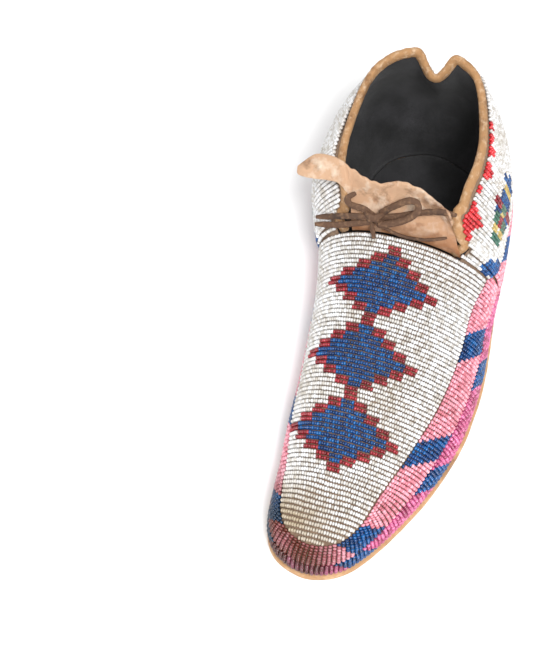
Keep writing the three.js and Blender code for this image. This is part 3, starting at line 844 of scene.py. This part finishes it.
vamp_rows = []
for y in np.arange(THROAT_Y - 1.6, -125, -ROW_PITCH):
    line, normals = across_the_vamp(y)
    if len(line) > 3:
        vamp_rows.append(string_beads(line, normals))

# The diamonds: rows for each step, and how far each step goes out, in beads.
STEP_ROWS = 2
STEP_BEADS = 5
TIP_BLOCK = 2.5
EDGE_BEADS = 5
DIAMOND_STEPS = (1, 2, 3, 4, 3, 2, 1)
FIRST_ROW = 2
JOINING_ROWS = 3
MOTIF_X = [(37, -10), (-6, -14.5), (-53, -13), (-94, -12)]
steps_by_row = [None] * FIRST_ROW + [0] * STEP_ROWS
for diamond in range(3):
    for step in DIAMOND_STEPS:
        steps_by_row += [step] * STEP_ROWS
    steps_by_row += [0] * (JOINING_ROWS if diamond < 2 else STEP_ROWS)


def vamp_colour(number, row):
    names = np.full(len(row["at"]), "white", object)
    step = steps_by_row[number] if number < len(steps_by_row) else None
    if step is None:
        return names
    y = row["centre"][:, 1].mean()
    middle_x = np.interp(-y, [-spot[0] for spot in MOTIF_X], [spot[1] for spot in MOTIF_X])
    middle = np.interp(middle_x, row["centre"][:, 0], row["at"])
    away = np.abs(row["at"] - middle) / BEAD_PITCH
    reach = TIP_BLOCK + STEP_BEADS * step
    names[away < reach] = "maroon"
    if step:
        names[away < reach - EDGE_BEADS] = "blue"
    return names


vamp_bins = sort_by_colour(vamp_rows, vamp_colour)
for colour, glass in (("white", white_glass), ("blue", blue_glass), ("maroon", maroon_glass)):
    bead_piece(f"vamp_{colour}_beads", vamp_bins[colour], "vamp_beadwork", glass)

# ---- Beadwork of the border -----------------------------------------------------------
# Two lanes of short rows go round the foot above the sole, each row standing up the side.
# The lower lane is magenta and the upper salmon pink, with slanting blue blocks in both.
BLOCK_ROWS = 7
BLOCK_SLANT = 0.5
HEEL_GAP = 0.12
BLOCK_STARTS = {MEDIAL: (8, 32, 58, 84), LATERAL: (6, 30, 58, 85, 111)}
magenta_glass = bead_glass("magenta_glass", (0.28, 0.035, 0.09), (0.54, 0.09, 0.23), (0.76, 0.2, 0.4),
                           grime=(0.07, 0.013, 0.01), amount=0.55)
pink_glass = bead_glass("pink_glass", (0.5, 0.14, 0.18), (0.72, 0.26, 0.33), (0.85, 0.42, 0.5),
                        grime=(0.12, 0.025, 0.016), amount=0.45)


def even_stations(side, distance_up, stations):
    """Stations one row apart, along the line that lies distance_up above the sole."""
    heights = [distance_up(station) for station in stations]
    line = [up_the_side(side, s, up, up, 1)[0][0] for s, up in zip(stations, heights)]
    run = distances_along(np.array(line))
    count = int(run[-1] / ROW_PITCH)
    return np.interp((np.arange(count) + 0.5) / count * run[-1], run, stations)


def lane_rows(lane):
    """The rows of one lane, from the heel along the big-toe side to the toe, and back."""
    rows = []
    for side in (MEDIAL, LATERAL):
        spots = even_stations(
            side, lambda s: (lane + 0.5) * lane_height(side, s), np.linspace(HEEL_GAP, TOE, 160))
        for station in spots if side == MEDIAL else spots[::-1]:
            height = lane_height(side, station)
            start = lane * height + (0.5 if lane else 0.9)
            row = string_beads(*up_the_side(side, station, start, (lane + 1) * height - 0.1), arch=0.5)
            row["up"] = row["at"] / BEAD_PITCH
            row["side"] = side
            rows.append(row)
    return rows


def border_colour(field, rows):
    """A rule that puts slanting blue blocks in the field. Each block starts a number of rows
    from the toe, and its lower beads lie further back than its upper ones."""
    medial_count = sum(1 for row in rows if row["side"] == MEDIAL)

    def rule(number, row):
        names = np.full(len(row["at"]), field, object)
        from_toe = medial_count - number - 1 if row["side"] == MEDIAL else number - medial_count
        beads_down = row["at"][-1] / BEAD_PITCH - row["up"]
        for start in BLOCK_STARTS[row["side"]]:
            phase = from_toe - start - BLOCK_SLANT * beads_down
            names[(phase >= 0) & (phase < BLOCK_ROWS)] = "blue"
        return names
    return rule


for lane, field, material, node in (
        (0, "magenta", magenta_glass, "border_beadwork_lower"),
        (1, "pink", pink_glass, "border_beadwork_upper")):
    rows = lane_rows(lane)
    border_bins = sort_by_colour(rows, border_colour(field, rows))
    bead_piece(f"border_{field}_beads", border_bins[field], node, material)
    bead_piece(f"border_{field}_lane_blue_beads", border_bins["blue"], node, blue_glass)

# ---- Beadwork of the ankle ------------------------------------------------------------
# White rows stand up the two flaps to the collar. Red triangles hang from the collar, and
# a small many-coloured figure is worked into each flap above the border.
PANEL_END = 4.56
BEADS_BELOW_COLLAR = 5.6
red_glass = bead_glass("red_glass", (0.35, 0.01, 0.015), (0.62, 0.02, 0.03), (0.8, 0.06, 0.07),
                       grime=(0.2, 0.02, 0.02), amount=0.4)
gold_glass = bead_glass("gold_glass", (0.3, 0.2, 0.05), (0.5, 0.36, 0.1), (0.62, 0.5, 0.2))
green_glass = bead_glass("green_glass", (0.01, 0.06, 0.04), (0.03, 0.12, 0.08), (0.08, 0.2, 0.14))
RED_STEP_BEADS = 2.5
# Red triangles: where along the foot, and how many beads deep.
RED_STEPS = {
    MEDIAL: [(137, 4)],
    LATERAL: [(113, 2), (107, 2), (100, 3), (87, 5), (75, 2), (57, 9)],
}
# Bars of the figure: start along the foot, rows, first and last bead up, colour.
FIGURE_BARS = [
    (104, 3, 8, 12, "blue"), (98, 2, 5, 17, "blue"), (93, 2, 7, 15, "gold"), (89, 3, 6, 16, "blue"),
    (82, 2, 2, 8, "maroon"), (82, 2, 8, 13, "green"), (82, 2, 13, 19, "maroon"), (78, 2, 4, 9, "blue"),
    (78, 2, 9, 12, "gold"), (78, 2, 12, 17, "blue"), (74, 3, 5, 9, "green"), (74, 3, 9, 12, "maroon"),
    (74, 3, 12, 16, "green"), (67, 2, 6, 10, "gold"), (67, 2, 11, 15, "gold"), (62, 2, 7, 14, "green"),
    (53, 2, 0, 5, "blue"), (49, 2, 0, 9, "blue"), (45, 2, 2, 6, "blue"),
]


def ankle_rows(side):
    def middle(station):
        return (2 * lane_height(side, station) + collar_arc(side, station, BEADS_BELOW_COLLAR)) / 2

    rows = []
    for station in even_stations(side, middle, np.linspace(HEEL_GAP, PANEL_END, 150)):
        low = 2 * lane_height(side, station) + 0.4
        high = collar_arc(side, station, BEADS_BELOW_COLLAR)
        if high - low < 2 * BEAD_PITCH:
            continue
        row = string_beads(*up_the_side(side, station, low, high))
        row["from_top"] = (row["at"][-1] - row["at"]) / BEAD_PITCH
        rows.append(row)
    return rows


def ankle_colour(side):
    """White rows, with red triangles stepped along the collar and a figure with blue, green
    and gold bars near the border of each flap."""
    def rule(number, row):
        names = np.full(len(row["at"]), "white", object)
        y = float(row["centre"][:, 1].mean())
        for tip_y, depth in RED_STEPS[side]:
            rows_away = abs(y - tip_y) // ROW_PITCH
            names[row["from_top"] < depth - RED_STEP_BEADS * rows_away] = "red"
        up = row["at"] / BEAD_PITCH
        for start_y, rows_long, low, high, colour in FIGURE_BARS:
            if start_y - rows_long * ROW_PITCH < y <= start_y:
                names[(up >= low) & (up < high)] = colour
        return names
    return rule


for side, flap in ((MEDIAL, "medial"), (LATERAL, "lateral")):
    ankle_bins = sort_by_colour(ankle_rows(side), ankle_colour(side))
    for colour, glass in (("white", white_glass), ("red", red_glass), ("green", green_glass),
                          ("gold", gold_glass), ("blue", blue_glass), ("maroon", maroon_glass)):
        if colour in ankle_bins:
            bead_piece(f"ankle_{flap}_{colour}_beads", ankle_bins[colour],
                       f"ankle_beadwork_{flap}", glass)

# ---- Collar binding -------------------------------------------------------------------
# A strip of soft buckskin folded over the edge of the hide and the felt, and whipped down.
BINDING_WIDTH = 6.4
BINDING_THICKNESS = 4.3
BINDING_SUNK = 2.45
buckskin = hide_material(
    "binding_buckskin", (0.46, 0.25, 0.11), (0.2, 0.09, 0.035), (0.66, 0.46, 0.29), bump=0.8,
    scales=(70, 2300, 330), depth=0.0005)


def rim_point(side, station):
    arc = collar_arc(side, station, BINDING_RADIUS)
    line, normals = up_the_side(side, station, arc, arc, 1)
    return line[0] - BINDING_SUNK * normals[0], normals[0]


rim_spots = [(MEDIAL, s) for s in np.linspace(PANEL_END + 0.02, 0.0, 110)]
rim_spots += [(LATERAL, s) for s in np.linspace(0.0, PANEL_END + 0.02, 110)[1:]]
rim, rim_facing = (np.array(values) for values in zip(*[rim_point(side, s) for side, s in rim_spots]))
binding = strap("buckskin_binding", rim, BINDING_WIDTH, BINDING_THICKNESS, rim_facing, tip=0.8, seed=11,
                sides=14, wobble=0.14)
binding.data.materials.append(buckskin)
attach(binding, "root")
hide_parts("collar_binding")

# ---- Heel seam strip ------------------------------------------------------------------
# A narrow buckskin strip covers the heel seam between the two ends of the beadwork.
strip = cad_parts["heel_seam_strip"]
strip.data.materials.clear()
strip.data.materials.append(buckskin)

# ---- Tongue ---------------------------------------------------------------------------
# One wide, wrinkled piece of pale buckskin, sewn under the throat. It folds down in front
# of the ankle, and its torn corner hangs out past the big-toe side.
TONGUE_BACK = 2.2
TONGUE_SUNK = 1.5
TONGUE_COLUMNS = [
    (LATERAL, 0.6, (13.5, 53.5, 76)), (LATERAL, 0.68, (9, 56.5, 77)), (LATERAL, 0.8, (1, 59, 80)),
    (LATERAL, 0.92, (-9, 61, 84)), (MEDIAL, 1.0, (-17, 61, 83)), (MEDIAL, 0.92, (-26, 59, 81)),
    (MEDIAL, 0.8, (-34, 60, 82)), (MEDIAL, 0.7, (-42, 61, 83)),
]
LOBE = [((-49, 53, 79), (-52, 63, 86)), ((-60, 51, 79), (-62, 63, 85)), ((-70, 54, 76), (-71, 58, 78))]
ROWS_UP = 24
COLUMNS_PER_SPAN = 8
TONGUE_THICKNESS = 1.3
TONGUE_FACING = np.array([0, -0.88, 0.48])
bases = np.array([
    surface(np.array(side), np.array(THROAT), np.array(climb)) + (0, TONGUE_BACK, -TONGUE_SUNK)
    for side, climb, _ in TONGUE_COLUMNS])
tops = np.array([top for _, _, top in TONGUE_COLUMNS], float)
bases = smooth_route(bases, COLUMNS_PER_SPAN)
tops = smooth_route(tops, COLUMNS_PER_SPAN)
tongue_points = []
for column, (low, high) in enumerate(zip(bases, tops)):
    ragged = 1 + 0.05 * noise.noise(Vector((column * 0.23, 3.1, 0)))
    for t in np.linspace(0, 1, ROWS_UP + 1):
        spot = low + (high - low) * t * ragged
        spot[1] -= 1.5 * math.sin(math.pi * t)
        folds = 2.2 * noise.fractal(Vector((spot[0] * 0.075, t * 1.4, 5)), 1.0, 2.0, 3)
        folds += 0.5 * noise.noise(Vector((spot[0] * 0.3, t * 2, 8)))
        roll = 3.2 * math.exp(-((t - 1) / 0.16) ** 2) - 1.2 * math.exp(-((t - 0.62) / 0.18) ** 2)
        belly = 1.6 * math.exp(-((t - 0.28) / 0.16) ** 2)
        spot = spot + TONGUE_FACING * (folds * min(1, 4 * t) + roll + belly)
        tongue_points.append(spot)
tall = ROWS_UP + 1
tongue_quads = []
for start in range(0, (len(bases) - 1) * tall, tall):
    for j in range(start, start + ROWS_UP):
        tongue_quads.append((j, j + tall, j + tall + 1, j + 1))
LOBE_ROWS = range(ROWS_UP // 2, ROWS_UP + 1)
last_column = [(len(bases) - 1) * tall + j for j in LOBE_ROWS]
lobe_low = smooth_route([tongue_points[last_column[0]], *[p[0] for p in LOBE]], 8)[1:]
lobe_high = smooth_route([tongue_points[-1], *[p[1] for p in LOBE]], 8)[1:]
for number, (low, high) in enumerate(zip(lobe_low, lobe_high)):
    column = []
    for step in range(len(LOBE_ROWS)):
        t = step / (len(LOBE_ROWS) - 1)
        spot = low + (high - low) * t
        curl = noise.fractal(Vector((number * 0.17, t * 1.5, 9)), 1.0, 2.0, 3)
        spot = spot + TONGUE_FACING * (curl * 1.8 + 1.2 * math.sin(math.pi * t))
        column.append(len(tongue_points))
        tongue_points.append(spot)
    for j in range(len(column) - 1):
        tongue_quads.append((last_column[j], column[j], column[j + 1], last_column[j + 1]))
    last_column = column
tongue = finish_mesh("buckskin_tongue", tongue_points, tongue_quads)
make_active(tongue)
wall = tongue.modifiers.new("wall", "SOLIDIFY")
wall.thickness = TONGUE_THICKNESS * MM
wall.offset = 0
bpy.ops.object.modifier_apply(modifier="wall")
recalculate(tongue)
rounding = tongue.modifiers.new("rounding", "SUBSURF")
rounding.levels = 1
rounding.render_levels = 1
bpy.ops.object.modifier_apply(modifier="rounding")
tongue_hide = hide_material(
    "tongue_buckskin", (0.72, 0.45, 0.28), (0.2, 0.075, 0.03), (0.92, 0.76, 0.6), bump=0.9,
    scales=(85, 2100, 130), depth=0.0008)
SMOKED = (0.4, 0.15, 0.05)
nodes, links = tongue_hide.node_tree.nodes, tongue_hide.node_tree.links
shader = nodes["Principled BSDF"]
tone = shader.inputs["Base Color"].links[0].from_socket
place = nodes.new("ShaderNodeTexCoord")
apart = nodes.new("ShaderNodeSeparateXYZ")
links.new(place.outputs["Object"], apart.inputs[0])
low_strip = spread(nodes, links, apart.outputs["Z"], 0.072, 0.055, 0.9)
patchy = add_node(nodes, "ShaderNodeTexNoise", Scale=120, Detail=4)
links.new(place.outputs["Object"], patchy.inputs["Vector"])
patches = combine(nodes, links, "MULTIPLY", patchy.outputs["Fac"], 1.7, clamp=True)
smoke = combine(nodes, links, "MULTIPLY", low_strip, patches)
links.new(mix_colours(nodes, links, smoke, tone, SMOKED), shader.inputs["Base Color"])
tongue.data.materials.append(tongue_hide)
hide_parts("tongue")
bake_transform(tongue)
